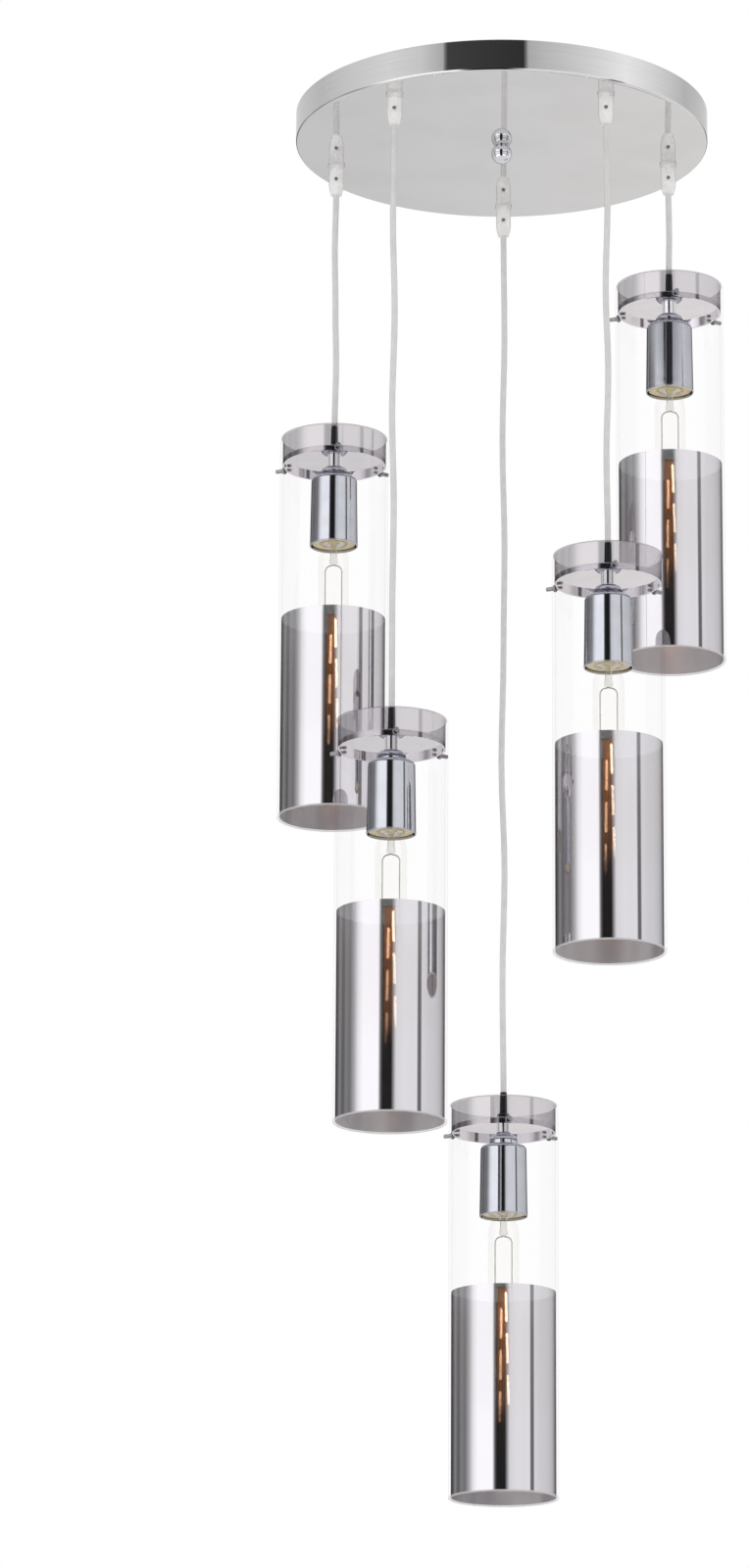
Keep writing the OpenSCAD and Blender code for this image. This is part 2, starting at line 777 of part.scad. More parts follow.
// Glass stem, arched support wires and the two strings of glowing sticks between cross wires
module filament(n) {
    seat = cap_low - seal_gap;
    stem_low = seat - stem_h;
    pinch_low = stem_low - pinch_h;
    wire_x = wire_span / 2;
    wire_low = bulb_low + wire_tip_gap;
    color("goldenrod")
        at_lamp(n) {
            translate([0, 0, seat - stem_flare_h])
                cylinder(r = neck_r - bulb_wall - seal_gap, h = stem_flare_h, $fn = small_fn);
            translate([0, 0, stem_low]) cylinder(d = stem_d, h = stem_h, $fn = small_fn);
            translate([-pinch_w / 2, -pinch_t / 2, pinch_low])
                cube([pinch_w, pinch_t, pinch_h + pinch_root]);
            for (h = [pinch_low - wire_d, wire_low + string_h - wire_d, wire_low])
                translate([-wire_x - wire_d / 2, -wire_d / 2, h])
                    cube([wire_span + wire_d, wire_d, wire_d + (h > wire_low + string_h ? pinch_root : 0)]);
            for (side = [-1, 1])
                translate([side * wire_x, 0, wire_low])
                    cylinder(d = wire_d, h = pinch_low - wire_low - wire_d / 2, $fn = small_fn);
            translate([0, 0, wire_low + string_h - wire_d / 2])
                for (s = stick_strings)
                    stick_string(s[0], s[1], s[2], s[3]);
        }
}

canopy();
ceiling_bracket();
canopy_rod();
rod_nuts();
ball_nut();
terminal_box();
cord_grips();
grip_lock_nuts();
grip_screws();
inner_cord_ends();
for (n = [0 : 4]) {
    cord(n);
    strain_relief(n);
    shade_carrier(n);
    thumb_screws(n);
    lampholder_cup(n);
    socket(n);
    glass_shade(n);
    bulb_glass(n);
    bulb_cap(n);
    filament(n);
}
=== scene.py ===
"""Looks of the cluster pendant light: camera, cords, bulbs' insides, materials and studio light."""
import json
import math

import bpy
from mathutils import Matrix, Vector


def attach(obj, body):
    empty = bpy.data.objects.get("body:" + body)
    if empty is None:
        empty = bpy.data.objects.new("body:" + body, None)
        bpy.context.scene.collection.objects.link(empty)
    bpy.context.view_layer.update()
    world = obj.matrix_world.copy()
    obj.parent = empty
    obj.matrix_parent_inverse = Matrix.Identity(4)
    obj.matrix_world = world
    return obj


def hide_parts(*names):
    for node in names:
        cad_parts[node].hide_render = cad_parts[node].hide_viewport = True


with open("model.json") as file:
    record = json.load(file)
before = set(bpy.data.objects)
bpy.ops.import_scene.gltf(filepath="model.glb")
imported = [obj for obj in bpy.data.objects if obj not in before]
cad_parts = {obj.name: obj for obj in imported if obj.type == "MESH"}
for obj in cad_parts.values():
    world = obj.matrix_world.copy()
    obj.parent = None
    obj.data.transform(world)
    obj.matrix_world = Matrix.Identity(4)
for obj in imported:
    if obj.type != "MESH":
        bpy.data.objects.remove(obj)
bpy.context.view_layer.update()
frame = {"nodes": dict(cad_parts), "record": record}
scene = bpy.context.scene

# The lamps' places, as in the solids: degrees round the canopy and metres down to the lower edge of
# the glass's top band

MM = 0.001
LAMPS = 5
CIRCLE_R = 0.171
LAMP_ANGLE = [18, 162, 306, 234, 90]
LAMP_DROP = [0.185, 0.340, 0.518, 0.677, 0.975]
EXITS = [Vector((CIRCLE_R * math.cos(math.radians(a)), CIRCLE_R * math.sin(math.radians(a)), 0))
         for a in LAMP_ANGLE]


# Camera

CAMERA_PLACE = (0.058, -5.745, -2.217)
CAMERA_YAW = -0.58
CAMERA_TILT = 15.037
CAMERA_LENS = 144.3
CAMERA_SHIFT = -0.081
SENSOR_W = 36
VIEW_END = 60


def aim(yaw, tilt):
    """Direction of a view turned right by yaw and up by tilt, both in degrees, from +Y."""
    yaw, tilt = math.radians(yaw), math.radians(tilt)
    return Vector((math.sin(yaw) * math.cos(tilt), math.cos(yaw) * math.cos(tilt), math.sin(tilt)))


camera = bpy.data.objects.new("camera", bpy.data.cameras.new("camera"))
scene.collection.objects.link(camera)
camera.location = CAMERA_PLACE
camera.rotation_mode = "QUATERNION"
camera.rotation_quaternion = aim(CAMERA_YAW, CAMERA_TILT).to_track_quat("-Z", "Y")
camera.data.sensor_width = SENSOR_W
camera.data.lens = CAMERA_LENS
camera.data.shift_x = CAMERA_SHIFT
camera.data.clip_end = VIEW_END
scene.camera = camera


# Cords, along the same routes as the solids

CORD_D = 0.006
SWING_Z = -0.058
RELIEF_TOP = 0.040
CORD_POINTS = 33
WIRE_SIDES = 3
# Sideways leans in millimetres at equal steps down each cord
CORD_LEAN = [
    [(0, 0), (0.5, 0), (0, 0)],
    [(0, 0), (-1, 0), (0, 1), (1, 0), (0, 0)],
    [(0, 0), (1, 0), (-1, 1), (1, 0), (-1, 0), (0, 0)],
    [(0, 0), (-1, 0), (1, 0), (-1, 1), (1, 0), (0, 0), (0, 0)],
    [(0, 0), (1, 0), (-1, 0), (1, 1), (0, 0), (-2, 0), (1, 0), (-1, 0), (0, 0)],
]


def cord_middle(n, s):
    """Middle of cord n at the share s of its length."""
    leans = CORD_LEAN[n]
    last = len(leans) - 1
    i = min(int(s * last), last - 1)
    f = (1 - math.cos(math.pi * (s * last - i))) / 2
    lean = [a + (b - a) * f for a, b in zip(leans[i], leans[i + 1])]
    low = RELIEF_TOP - LAMP_DROP[n]
    return EXITS[n] + Vector((lean[0] * MM, lean[1] * MM, SWING_Z + (low - SWING_Z) * s))


def curve_data(name, lines, radius):
    """Round wires along the given lines of points."""
    data = bpy.data.curves.new(name, "CURVE")
    data.dimensions = "3D"
    data.bevel_depth = 1.0
    data.bevel_resolution = WIRE_SIDES
    data.use_fill_caps = True
    for points in lines:
        spline = data.splines.new("POLY")
        spline.points.add(len(points) - 1)
        for point, place in zip(spline.points, points):
            point.co = (*place, 1)
            point.radius = radius
        spline.use_smooth = True
    return data


def make_cord(n):
    """Free stretch of cord n, a clear sheath."""
    points = [cord_middle(n, i / (CORD_POINTS - 1)) for i in range(CORD_POINTS)]
    name = f"cord_look_{n + 1}"
    piece = bpy.data.objects.new(name, curve_data(name, [points], CORD_D / 2))
    scene.collection.objects.link(piece)
    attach(piece, f"lamp_{n + 1}")
    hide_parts(f"cord_{n + 1}")
    return piece


cords = [make_cord(n) for n in range(LAMPS)]


# Materials

CLEAR_IOR = 1.45
PLASTIC_SCALE = 120
PLASTIC_BUMP = 0.02 * MM
CLEAR_SCALE = 90
GLOSS_TONE = (0.8, 0.8, 0.8, 1)
CLEAR_TONE = (1, 1, 1, 1)
# The lampholder's heights from its foot, in millimetres, and its collar's start as a share
HOLDER_H = 86.1
COLLAR_FROM = 79.5 / HOLDER_H


class Nodes:
    """Node tree of a material or the world, with short calls to add and join nodes."""

    def __init__(self, owner):
        self.tree = owner.node_tree
        self.tree.nodes.clear()

    def add(self, kind, **values):
        node = self.tree.nodes.new(kind)
        for key, value in values.items():
            setattr(node, key, value)
        return node

    def join(self, source, target):
        self.tree.links.new(source, target)

    def put(self, socket, value):
        """Link a socket, or set a plain value on it."""
        if isinstance(value, bpy.types.NodeSocket):
            self.join(value, socket)
        else:
            socket.default_value = value

    def math(self, operation, a, b=0.0, c=0.0):
        node = self.add("ShaderNodeMath", operation=operation)
        for socket, value in zip(node.inputs, (a, b, c)):
            self.put(socket, value)
        return node.outputs[0]

    def ramp(self, value, low, high, to_low=0.0, to_high=1.0, smooth=True):
        kind = "SMOOTHSTEP" if smooth else "LINEAR"
        node = self.add("ShaderNodeMapRange", interpolation_type=kind)
        for name, v in (("Value", value), ("From Min", low), ("From Max", high),
                        ("To Min", to_low), ("To Max", to_high)):
            self.put(node.inputs[name], v)
        return node.outputs["Result"]

    def noise(self, scale, detail=2.0, stretch=(1, 1, 1)):
        place = self.add("ShaderNodeTexCoord").outputs["Object"]
        if stretch != (1, 1, 1):
            mapping = self.add("ShaderNodeMapping")
            mapping.inputs["Scale"].default_value = stretch
            self.join(place, mapping.inputs["Vector"])
            place = mapping.outputs["Vector"]
        node = self.add("ShaderNodeTexNoise")
        node.inputs["Scale"].default_value = scale
        node.inputs["Detail"].default_value = detail
        self.join(place, node.inputs["Vector"])
        return node.outputs["Fac"]

    def bump(self, height, strength, distance):
        node = self.add("ShaderNodeBump")
        node.inputs["Strength"].default_value = strength
        node.inputs["Distance"].default_value = distance
        self.join(height, node.inputs["Height"])
        return node.outputs["Normal"]

    def mix_color(self, factor, a, b):
        node = self.add("ShaderNodeMix", data_type="RGBA")
        self.put(node.inputs["Factor"], factor)
        self.put(node.inputs[6], a)
        self.put(node.inputs[7], b)
        return node.outputs[2]

    def blend(self, factor, a, b):
        node = self.add("ShaderNodeMix", data_type="FLOAT")
        self.put(node.inputs["Factor"], factor)
        self.put(node.inputs[2], a)
        self.put(node.inputs[3], b)
        return node.outputs[0]

    def generated(self):
        """Generated coordinates, each as a socket."""
        split = self.add("ShaderNodeSeparateXYZ")
        self.join(self.add("ShaderNodeTexCoord").outputs["Generated"], split.inputs[0])
        return split.outputs

    def facing(self):
        return self.add("ShaderNodeLayerWeight").outputs["Facing"]

    def bsdf(self, kind, color, roughness=None):
        node = self.add(f"ShaderNodeBsdf{kind}")
        self.put(node.inputs["Color"], color)
        if roughness is not None:
            self.put(node.inputs["Roughness"], roughness)
        return node.outputs[0]

    def lit(self, shader, color, strength):
        """The shader with light of its own."""
        light = self.add("ShaderNodeEmission")
        self.put(light.inputs["Color"], color)
        light.inputs["Strength"].default_value = strength
        both = self.add("ShaderNodeAddShader")
        self.join(shader, both.inputs[0])
        self.join(light.outputs[0], both.inputs[1])
        return both.outputs[0]

    def mix_shader(self, factor, a, b):
        node = self.add("ShaderNodeMixShader")
        self.put(node.inputs[0], factor)
        self.join(a, node.inputs[1])
        self.join(b, node.inputs[2])
        return node.outputs[0]

    def finish(self, shader):
        self.join(shader, self.add("ShaderNodeOutputMaterial").inputs["Surface"])


def new_material(name):
    material = bpy.data.materials.new(name)
    material.use_nodes = True
    return material, Nodes(material)


def shade(color, share=1.0):
    """Opaque colour at a share of its brightness."""
    return (*[c * share for c in color], 1)


def principled(nodes, color, metallic, roughness, normal=None):
    node = nodes.add("ShaderNodeBsdfPrincipled")
    nodes.put(node.inputs["Base Color"], color)
    node.inputs["Metallic"].default_value = metallic
    nodes.put(node.inputs["Roughness"], roughness)
    if normal is not None:
        nodes.join(normal, node.inputs["Normal"])
    return node.outputs[0]


def metal(name, color, rough, dull=0.93, bump_mm=0.0, scale=60, stretch=(1, 1, 1), rim=None,
          painted_lit_collar=None):
    """Polished or brushed metal with faint handling marks in its gloss and tone.

    Its tone turns to the rim colour where the surface leans away from the view, a painted dark
    reflection round the outline, and above COLLAR_FROM to a lighter tone, painted light.
    """
    material, nodes = new_material(name)
    marks = nodes.noise(scale, 3.0, stretch)
    tone = nodes.mix_color(nodes.ramp(marks, 0.35, 0.7), shade(color), shade(color, dull))
    # Painted reflection: the tone turns to a dark outline colour where the surface leans away from
    # the view
    if rim:
        tone = nodes.mix_color(nodes.ramp(nodes.facing(), 0.45, 0.95), tone, shade(rim))
    # Painted light: a lighter tone above COLLAR_FROM
    if painted_lit_collar:
        upper = nodes.math("GREATER_THAN", nodes.generated()["Z"], COLLAR_FROM)
        tone = nodes.mix_color(upper, tone, shade(painted_lit_collar))
    normal = None
    if bump_mm:
        normal = nodes.bump(nodes.noise(scale * 9, 2.0, stretch), 0.2, bump_mm * MM)
    nodes.finish(principled(nodes, tone, 1.0, nodes.ramp(marks, 0.3, 0.75, *rough), normal))
    return material


def plastic(name, color, rough, speckle):
    """Opaque moulded plastic with a fine grain."""
    material, nodes = new_material(name)
    clouds = nodes.noise(PLASTIC_SCALE * 0.3, 3.0)
    tone = nodes.mix_color(nodes.ramp(clouds, 0.3, 0.7), shade(color), shade(color, speckle))
    normal = nodes.bump(nodes.noise(PLASTIC_SCALE * 12, 2.0), 0.3, PLASTIC_BUMP)
    nodes.finish(principled(nodes, tone, 0.0, nodes.ramp(clouds, 0.3, 0.7, *rough), normal))
    return material


def edge_gloss(nodes, share):
    """Reflection of a clear face, strongest at its edges, as a share of the full Fresnel one."""
    fresnel = nodes.add("ShaderNodeFresnel")
    fresnel.inputs["IOR"].default_value = CLEAR_IOR
    return nodes.math("MULTIPLY", fresnel.outputs[0], share)


def clear(name, tint, gloss_rough, veil, veil_color, gloss_share):
    """Thin clear glass: see-through, with edge gloss and a faint veil of its own colour."""
    material, nodes = new_material(name)
    marks = nodes.noise(CLEAR_SCALE, 3.0)
    cloudy = nodes.mix_shader(nodes.ramp(marks, 0.2, 0.8, veil * 0.92, veil * 1.08),
                              nodes.bsdf("Transparent", shade(tint)),
                              nodes.bsdf("Diffuse", shade(veil_color)))
    rough = nodes.ramp(marks, 0.3, 0.8, gloss_rough, gloss_rough * 2.2)
    gloss = nodes.bsdf("Glossy", GLOSS_TONE, rough)
    nodes.finish(nodes.mix_shader(edge_gloss(nodes, gloss_share), cloudy, gloss))
    return material


def milky(name, color, painted_edge_shade, gloss_rough, see_through, painted_glow):
    """Thick clear plastic: diffuse and partly translucent, with a painted glow in its body, painted
    shade towards its edges, soft gloss at its edges, hardly see-through.
    """
    material, nodes = new_material(name)
    marks = nodes.noise(CLEAR_SCALE, 3.0)
    tone = nodes.mix_color(nodes.ramp(marks, 0.35, 0.65), shade(color), shade(color, 0.95))
    # Painted shade: darker where the surface leans away from the view
    tone = nodes.mix_color(nodes.ramp(nodes.facing(), 0.35, 0.95), tone, shade(color, painted_edge_shade))
    body = nodes.mix_shader(0.35, nodes.bsdf("Diffuse", tone), nodes.bsdf("Translucent", tone))
    # Painted glow: light of its own, though the plastic is no lamp
    body = nodes.lit(body, tone, painted_glow)
    body = nodes.mix_shader(see_through, body, nodes.bsdf("Transparent", CLEAR_TONE))
    rough = nodes.ramp(marks, 0.3, 0.8, gloss_rough, gloss_rough * 1.6)
    gloss = nodes.bsdf("Glossy", GLOSS_TONE, rough)
    nodes.finish(nodes.mix_shader(edge_gloss(nodes, 0.25), body, gloss))
    return material


# The glass cylinder's zones in millimetres: heights from its foot, and the middle of its wall

SHADE_H = 380
SHADE_D = 105
BAND_FROM = 353 / SHADE_H
COAT_TO = 198 / SHADE_H
COAT_FULL = 100 / SHADE_H
FOOT_DENSE = 62 / SHADE_H
FOOT_RIM = 1.6 / SHADE_H
ZONE_EDGE = 0.5 / SHADE_H
WALL_MIDDLE = 51.25 / SHADE_D


def glass_zones(nodes):
    """Masks of the top band, foot rim, coated part and inner face, and the depth of the coat."""
    x, y, height = nodes.generated()
    band = nodes.ramp(height, BAND_FROM - ZONE_EDGE, BAND_FROM + ZONE_EDGE)
    rim = nodes.math("LESS_THAN", height, FOOT_RIM)
    coat = nodes.math("SUBTRACT", nodes.ramp(height, COAT_TO + ZONE_EDGE, COAT_TO - ZONE_EDGE), rim)
    depth = nodes.math("ADD", nodes.ramp(height, COAT_TO, COAT_FULL, 0.86, 0.93),
                       nodes.ramp(height, COAT_FULL, FOOT_DENSE, 0.0, 0.055))
    # The inner face is nearer to the axis than the middle of the wall
    squares = [nodes.math("POWER", nodes.math("SUBTRACT", side, 0.5), 2.0) for side in (x, y)]
    inner = nodes.math("LESS_THAN", nodes.math("SQRT", nodes.math("ADD", *squares)), WALL_MIDDLE)
    return band, rim, coat, inner, depth


def bare_glass(nodes, rim, smoke):
    """Wall without a coat: clear, darker at its edges, smoky on the band, and a whitish diffuse
    painted highlight on the foot rim.
    """
    edge_tint = nodes.mix_color(nodes.ramp(nodes.facing(), 0.80, 0.98),
                                (0.999, 0.997, 0.999, 1), (0.95, 0.94, 0.955, 1))
    tint = nodes.mix_color(smoke, edge_tint, (0.64, 0.62, 0.64, 1))
    shine = nodes.bsdf("Glossy", CLEAR_TONE, 0.02)
    wall = nodes.mix_shader(edge_gloss(nodes, 0.04), nodes.bsdf("Transparent", tint), shine)
    # Painted highlight: a whitish diffuse band on the foot rim
    painted_rim_highlight = nodes.bsdf("Diffuse", (0.85, 0.85, 0.86, 1))
    return nodes.mix_shader(nodes.math("MULTIPLY", rim, 0.45), wall, painted_rim_highlight)


def mirror_coat(nodes, band, coat, fine):
    """Bright where it is seen through the glass, duller and patchy on its free side."""
    tone = nodes.mix_color(band, (0.65, 0.635, 0.665, 1), (0.60, 0.57, 0.60, 1))
    on_glass = nodes.bsdf("Glossy", tone, nodes.ramp(fine, 0.3, 0.8, 0.01, 0.03))
    soft = nodes.bsdf("Glossy", (0.72, 0.73, 0.75, 1), nodes.ramp(fine, 0.3, 0.8, 0.16, 0.24))
    patches = nodes.ramp(nodes.noise(24, 1.0, (1, 1, 0.15)), 0.38, 0.62)
    dull_tone = nodes.mix_color(patches, (0.48, 0.47, 0.50, 1), (0.88, 0.87, 0.90, 1))
    dull = nodes.bsdf("Diffuse", dull_tone)
    free_side = nodes.mix_shader(nodes.math("MULTIPLY", coat, 0.5), soft, dull)
    seen_through_glass = nodes.add("ShaderNodeNewGeometry").outputs["Backfacing"]
    return nodes.mix_shader(seen_through_glass, free_side, on_glass)


def shade_glass():
    """Glass with a mirror coat on its inner face: a thin one on the top band, a dense one below."""
    material, nodes = new_material("shade_glass")
    band, rim, coat, inner, depth = glass_zones(nodes)
    fine = nodes.noise(30, 4.0)
    streaks = nodes.noise(40, 3.0, (1, 1, 0.12))
    thin = nodes.math("MULTIPLY", band, nodes.ramp(fine, 0.3, 0.7, 0.36, 0.40))
    even = nodes.math("MULTIPLY", depth, nodes.ramp(streaks, 0.3, 0.7, 0.99, 1.01))
    dense = nodes.math("MULTIPLY", coat, even)
    share = nodes.math("MULTIPLY", inner, nodes.math("ADD", thin, dense))
    bare = bare_glass(nodes, rim, nodes.math("MULTIPLY", inner, band))
    nodes.finish(nodes.mix_shader(share, bare, mirror_coat(nodes, band, coat, fine)))
    return material


def glow(name, color, strength, base):
    """Hot wire: its own colour, and light that is a little uneven along it."""
    material, nodes = new_material(name)
    flicker = nodes.ramp(nodes.noise(260, 2.0), 0.35, 0.65)
    light = nodes.mix_color(flicker, shade(color), shade(color, 0.75))
    nodes.finish(nodes.lit(principled(nodes, shade(base), 0.0, 0.5), light, strength))
    return material


LOOKS = {
    "canopy_chrome": metal("canopy_chrome", (0.81, 0.80, 0.81), (0.01, 0.03), dull=0.955, scale=14,
                           stretch=(1, 1, 40)),
    # Painted reflection: a dark bluish outline round the ball nut's chrome
    "ball_chrome": metal("ball_chrome", (0.88, 0.89, 0.92), (0.02, 0.05), dull=0.95, scale=120,
                         rim=(0.10, 0.11, 0.16)),
    "bracket": metal("bracket", (0.62, 0.62, 0.60), (0.28, 0.42), dull=0.85, bump_mm=0.02,
                     scale=160, stretch=(0.1, 1, 1)),
    "steel": metal("steel", (0.60, 0.60, 0.60), (0.22, 0.36), dull=0.85, bump_mm=0.02, scale=200),
    "dark_screw": metal("dark_screw", (0.52, 0.52, 0.52), (0.45, 0.60), dull=0.8, bump_mm=0.01,
                        scale=300),
    "carrier_chrome": metal("carrier_chrome", (0.90, 0.87, 0.90), (0.03, 0.07), dull=0.96),
    "screw_chrome": metal("screw_chrome", (0.36, 0.36, 0.38), (0.08, 0.18), dull=0.9, bump_mm=0.005,
                          scale=300),
    # Painted shade and painted light on one chrome: the lampholder's cup a darker bluish tone, its
    # collar a bright one
    "holder_chrome": metal("holder_chrome", (0.525, 0.54, 0.585), (0.02, 0.05), dull=0.95, scale=70,
                           painted_lit_collar=(0.92, 0.93, 0.94)),
    "cap_metal": metal("cap_metal", (0.74, 0.60, 0.30), (0.18, 0.30), dull=0.88, bump_mm=0.01,
                       scale=220),
    "box": plastic("box", (0.86, 0.86, 0.84), (0.45, 0.60), speckle=0.96),
    "black_plastic": plastic("black_plastic", (0.022, 0.021, 0.022), (0.28, 0.42), speckle=0.8),
    "socket": plastic("socket", (0.91, 0.81, 0.56), (0.40, 0.55), speckle=0.93),
    # Clear plastic of the cord grips and cords, with a painted glow and painted edge shade
    "clear_grip": milky("clear_grip", (0.97, 0.965, 0.955), painted_edge_shade=0.55, gloss_rough=0.12,
                        see_through=0.25, painted_glow=0.17),
    "clear_cord": milky("clear_cord", (0.92, 0.915, 0.905), painted_edge_shade=0.65, gloss_rough=0.18,
                        see_through=0.15, painted_glow=0.05),
    "bulb_glass": clear("bulb_glass", (0.995, 0.995, 0.99), gloss_rough=0.02, veil=0.003,
                        veil_color=(0.9, 0.9, 0.9), gloss_share=0.04),
    "stem_glass": clear("stem_glass", (0.96, 0.965, 0.955), gloss_rough=0.03, veil=0.12,
                        veil_color=(0.70, 0.71, 0.68), gloss_share=0.6),
    "lead_wire": metal("lead_wire", (0.64, 0.61, 0.57), (0.25, 0.40), dull=0.9, scale=300),
    "shade_glass": shade_glass(),
    "filament": glow("filament", (1.0, 0.77, 0.55), strength=10.5, base=(0.6, 0.45, 0.25)),
    "filament_dim": glow("filament_dim", (1.0, 0.61, 0.37), strength=8.0, base=(0.6, 0.45, 0.25)),
    "dim_strand": glow("dim_strand", (1.0, 0.32, 0.06), strength=1.15, base=(0.4, 0.18, 0.06)),
}


# Bulbs' insides, as high as in the solids: metres from the lower edge of the glass's top band

STEM_TOP = -0.07925
STEM_LOW = -0.09325
PINCH_LOW = -0.10025
STEM_R = 0.0032
FLARE_R = 0.0112
PINCH_HALF = 0.004
PINCH_THICK = 0.0015
PINCH_FADE = 0.003
ARCH_BEND = 0.006
ARCH_DROP = 0.0008
ARCH_STEPS = 8
WIRE_X = 0.008
WIRE_R = 0.0006
WIRE_LOW = -0.2801
STRING_H = 0.130
STRAND_R = 0.0009
STRAND_BACK = 0.0026
STRANDS = [(-0.0044, -0.0052), (-0.0020, -0.0027), (0.0004, -0.0002), (0.0028, 0.0023)]
STICK_R = 0.0012
STICK_L = 0.029
STICK_PITCH = 0.040
STICKS = 3
STICK_TIP = 0.00002
STICK_STEPS = 16
# Each string of sticks: its sideways place at its top and at its foot, and its first stick's depth
STRINGS = [(-0.0018, -0.0036, 0.020), (0.002, 0.0052, 0.004)]


def lathe(profile, steps=32):
    """Vertices and faces of a profile of radii and heights turned round Z."""
    vertices = [(r * math.cos(2 * math.pi * k / steps), r * math.sin(2 * math.pi * k / steps), z)
                for r, z in profile for k in range(steps)]
    faces = []
    for i in range(len(profile) - 1):
        for k in range(steps):
            a, b = i * steps + k, i * steps + (k + 1) % steps
            faces.append((a, b, b + steps, a + steps))
    return vertices, faces


def smooth_mesh(name, vertices, faces):
    mesh = bpy.data.meshes.new(name)
    mesh.from_pydata(vertices, [], faces)
    for face in mesh.polygons:
        face.use_smooth = True
    return mesh


def stem_mesh():
    """Flared foot, stem and flattened pinch of clear glass, in one skin."""
    waist = [(FLARE_R, STEM_TOP), (FLARE_R * 0.96, STEM_TOP - 0.0008),
             (FLARE_R * 0.6, STEM_TOP - 0.0022), (STEM_R * 1.15, STEM_TOP - 0.0045),
             (STEM_R, STEM_TOP - 0.007), (STEM_R, STEM_LOW), (STEM_R * 1.02, STEM_LOW - 0.002),
             (STEM_R, PINCH_LOW + 0.001), (0.0006, PINCH_LOW)]
    vertices, faces = lathe(waist)
    shaped = []
    for x, y, z in vertices:
        flat = min(max((STEM_LOW - z) / PINCH_FADE, 0), 1)
        flat = flat * flat * (3 - 2 * flat)
        shaped.append((x * (1 + flat * (PINCH_HALF / STEM_R - 1)),
                       y * (1 + flat * (PINCH_THICK / STEM_R - 1)), z))
    return smooth_mesh("stem", shaped, faces)


def string_point(top_x, foot_x, depth):
    """Place on a string at a depth below the upper cross wire."""
    return Vector((top_x + (foot_x - top_x) * depth / STRING_H, 0, WIRE_LOW + STRING_H - depth))


def sticks_mesh(which):
    """Round-ended glowing sticks of one string."""
    top_x, foot_x, first = STRINGS[which]
    lean = math.atan2(foot_x - top_x, STRING_H)
    ball = [math.radians(a) for a in range(-90, 91, 18)]
    straight = STICK_L / 2 - STICK_R
    profile = [(max(STICK_R * math.cos(a), STICK_TIP),
                STICK_R * math.sin(a) + straight * (1 if a > 0 else -1)) for a in ball]
    vertices, faces = [], []
    for k in range(STICKS):
        middle = string_point(top_x, foot_x, first + k * STICK_PITCH + STICK_L / 2)
        ring, skin = lathe(profile, STICK_STEPS)
        start = len(vertices)
        vertices += [(middle.x + x * math.cos(lean) - z * math.sin(lean), y,
                      middle.z + x * math.sin(lean) + z * math.cos(lean)) for x, y, z in ring]
        faces += [tuple(start + i for i in face) for face in skin]
    return smooth_mesh(f"sticks_{which}", vertices, faces)


def arch_points(side):
    """Half of the arched lead wire, from the pinch out and down to the lower cross wire."""
    start_x = WIRE_X - ARCH_BEND
    start_z = PINCH_LOW - ARCH_DROP
    points = [Vector((0, 0, PINCH_LOW)), Vector((side * start_x, 0, start_z))]
    for k in range(1, ARCH_STEPS + 1):
        a = math.radians(90 * k / ARCH_STEPS)
        points.append(Vector((side * (start_x + ARCH_BEND * math.sin(a)), 0,
                              start_z - ARCH_BEND * (1 - math.cos(a)))))
    points.append(Vector((side * WIRE_X, 0, WIRE_LOW)))
    return points


def lead_lines():
    """Both halves of the arched lead wire and the two cross wires."""
    lines = [arch_points(-1), arch_points(1)]
    for height in (WIRE_LOW, WIRE_LOW + STRING_H):
        lines.append([Vector((x, 0, height)) for x in (-WIRE_X, 0, WIRE_X)])
    return lines


def strand_lines():
    """Dim strands behind the two strings of bright sticks."""
    back = Vector((0, STRAND_BACK, 0))
    return [[string_point(top_x, foot_x, share * STRING_H) + back for share in (0, 0.5, 1)]
            for top_x, foot_x in STRANDS]


def bulb_inside():
    """Stem, wires and sticks of every bulb, from shapes that the five bulbs share."""
    shared = {
        "stem": (stem_mesh(), "stem_glass"),
        "sticks_dim": (sticks_mesh(0), "filament_dim"),
        "sticks_bright": (sticks_mesh(1), "filament"),
        "lead_wires": (curve_data("lead_wires", lead_lines(), WIRE_R), "lead_wire"),
        "dim_strands": (curve_data("dim_strands", strand_lines(), STRAND_R), "dim_strand"),
    }
    for shape, look in shared.values():
        shape.materials.append(LOOKS[look])
    for n in range(LAMPS):
        for key, (shape, _) in shared.items():
            piece = bpy.data.objects.new(f"{key}_{n + 1}", shape)
            scene.collection.objects.link(piece)
            piece.location = EXITS[n] + Vector((0, 0, -LAMP_DROP[n]))
            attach(piece, f"bulb_{n + 1}")
            if key == "sticks_bright":
                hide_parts(f"filament_{n + 1}")


bulb_inside()

for part in frame["record"]["subparts"]:
    for slot in frame["nodes"][part["node"]].material_slots:
        slot.material = LOOKS[part["material_slot"]]
for piece in cords:
    piece.data.materials.append(LOOKS["clear_cord"])


# Light: a plain dome for the eye, and soft boxes round the object for what its metal mirrors.
# Levels round the horizon, by degrees to the right of the camera's side

TOP_LEVEL = 1.6
OVERHEAD_LEVEL = 0.95
BEHIND_LEVELS = (0.665, 0.79)
# Changes with the direction's height, each from its first value to its second
TO_WALL = (0.335, 0.355)
TO_OVERHEAD = (0.55, 0.75)
TO_BELOW = (0.02, -0.06)
TO_LOW_FRONT = (-0.36, -0.30)
TO_WARM = (0.0, -0.1)
LOW_FRONT_LOSS = 0.5
WARM_TONE = (1, 0.99, 0.965, 1)
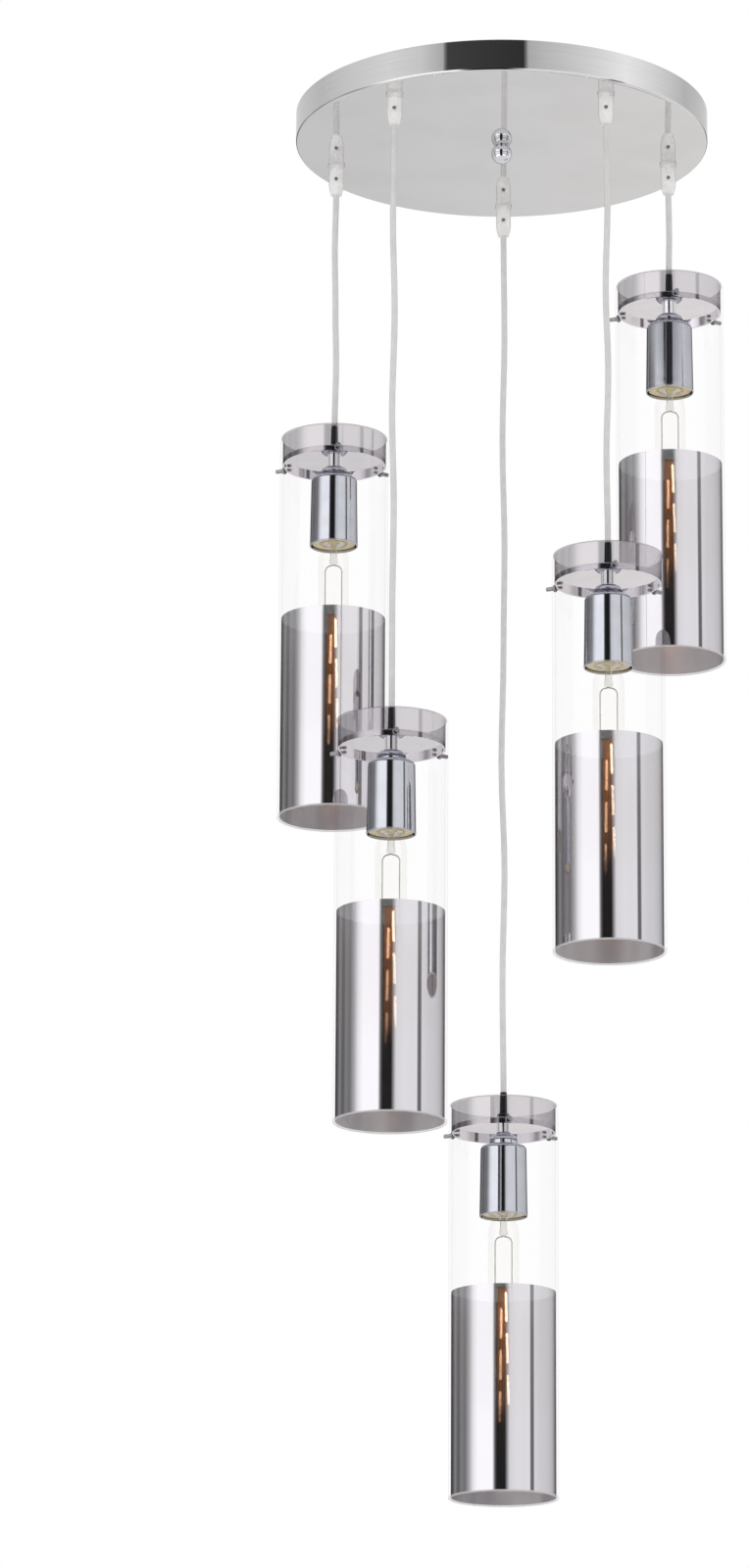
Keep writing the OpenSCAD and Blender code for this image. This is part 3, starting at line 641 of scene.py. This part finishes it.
# Changes with the direction's place across and towards the front
LEFT_TO_RIGHT = (-0.035, 0.035)
BACK_TO_FRONT = (0.2, -0.2)
FRONT_TO_BACK = (-0.2, 0.2)
LAMP_STOPS = [
    (-180, 0.20), (-154, 0.05), (-140, 0.20), (-131, 0.35), (-122, 0.20), (-116, 0.15),
    (-106, 0.32), (-93, 0.24), (-86, 0.42), (-79, 0.66), (-70, 1.20), (-58, 1.50), (-24, 1.50),
    (-19, 0.18), (-14, 0.02), (4, 0.02), (8, 0.35), (14, 1.02), (30, 1.13), (48, 1.10), (60, 1.12),
    (62.5, 0.20), (69.5, 0.20), (72, 1.02), (84, 0.95), (108, 0.90), (123, 0.82), (136, 0.68),
    (146, 0.42), (156, 0.16), (180, 0.20),
]
WALL_STOPS = [
    (-180, 0.72), (-120, 0.58), (-93, 0.70), (-65, 0.80), (-45, 0.70), (-32, 0.49), (-30.5, 0.06),
    (-15, 0.05), (13.5, 0.035), (15, 0.49), (26, 0.60), (49, 0.76), (74, 0.98), (105, 0.72),
    (125, 0.55), (180, 0.72),
]


def round_ramp(nodes, place, stops):
    """Level round the horizon."""
    node = nodes.add("ShaderNodeValToRGB")
    node.color_ramp.interpolation = "LINEAR"
    elements = node.color_ramp.elements
    while len(elements) > 1:
        elements.remove(elements[-1])
    for i, (degrees, level) in enumerate(stops):
        at = 0.5 + degrees / 360
        element = elements[0] if i == 0 else elements.new(at)
        element.position = at
        element.color = (level / TOP_LEVEL,) * 3 + (1,)
    nodes.join(place, node.inputs[0])
    return nodes.math("MULTIPLY", node.outputs[0], TOP_LEVEL)


def studio():
    world = bpy.data.worlds.new("studio")
    world.use_nodes = True
    scene.world = world
    nodes = Nodes(world)
    x, y, z = nodes.generated()
    angle = nodes.math("ARCTAN2", x, nodes.math("MULTIPLY", y, -1.0))
    place = nodes.math("ADD", nodes.math("DIVIDE", angle, 2 * math.pi), 0.5)
    lamp_level = round_ramp(nodes, place, LAMP_STOPS)
    wall_level = round_ramp(nodes, place, WALL_STOPS)
    across = nodes.ramp(x, *LEFT_TO_RIGHT, smooth=False)
    low_front = nodes.math("MULTIPLY", nodes.ramp(z, *TO_LOW_FRONT), LOW_FRONT_LOSS)
    front_level = nodes.math("MULTIPLY", lamp_level, nodes.math("SUBTRACT", 1.0, low_front))
    behind = nodes.blend(across, *BEHIND_LEVELS)
    below_level = nodes.blend(nodes.ramp(y, *BACK_TO_FRONT), behind, front_level)
    level = nodes.blend(nodes.ramp(z, *TO_WALL), lamp_level, wall_level)
    level = nodes.blend(nodes.ramp(z, *TO_OVERHEAD), level, OVERHEAD_LEVEL)
    level = nodes.blend(nodes.ramp(z, *TO_BELOW), level, below_level)

    path = nodes.add("ShaderNodeLightPath")
    seen = nodes.math("MAXIMUM", path.outputs["Is Camera Ray"], path.outputs["Is Transmission Ray"])
    # The light from behind and below is a little warmer on its right
    warm = nodes.math("MULTIPLY", across, nodes.ramp(y, *FRONT_TO_BACK))
    warm = nodes.math("MULTIPLY", warm, nodes.ramp(z, *TO_WARM))
    background = nodes.add("ShaderNodeBackground")
    nodes.put(background.inputs["Color"], nodes.mix_color(warm, CLEAR_TONE, WARM_TONE))
    nodes.put(background.inputs["Strength"], nodes.blend(seen, level, 1.0))
    nodes.join(background.outputs[0], nodes.add("ShaderNodeOutputWorld").inputs["Surface"])


studio()

BOUNCES = 8
ALL_BOUNCES = 16
CLEAR_LAYERS = 40

for kind in ("diffuse_bounces", "glossy_bounces", "transmission_bounces"):
    setattr(scene.cycles, kind, BOUNCES)
scene.cycles.max_bounces = ALL_BOUNCES
scene.cycles.transparent_max_bounces = CLEAR_LAYERS
scene.view_settings.view_transform = "Standard"


# Plain pale floor, well below the light

FLOOR_Z = -2.6
FLOOR_HALF = 3.0
FLOOR_TONE = (0.9, 0.9, 0.9, 1)
FLOOR_ROUGH = 0.9


def floor():
    mesh = bpy.data.meshes.new("floor")
    corners = [(-FLOOR_HALF, -FLOOR_HALF), (FLOOR_HALF, -FLOOR_HALF), (FLOOR_HALF, FLOOR_HALF),
               (-FLOOR_HALF, FLOOR_HALF)]
    mesh.from_pydata([(x, y, FLOOR_Z) for x, y in corners], [], [(0, 1, 2, 3)])
    piece = bpy.data.objects.new("floor", mesh)
    scene.collection.objects.link(piece)
    material, nodes = new_material("floor")
    nodes.finish(principled(nodes, FLOOR_TONE, 0.0, FLOOR_ROUGH))
    mesh.materials.append(material)


floor()
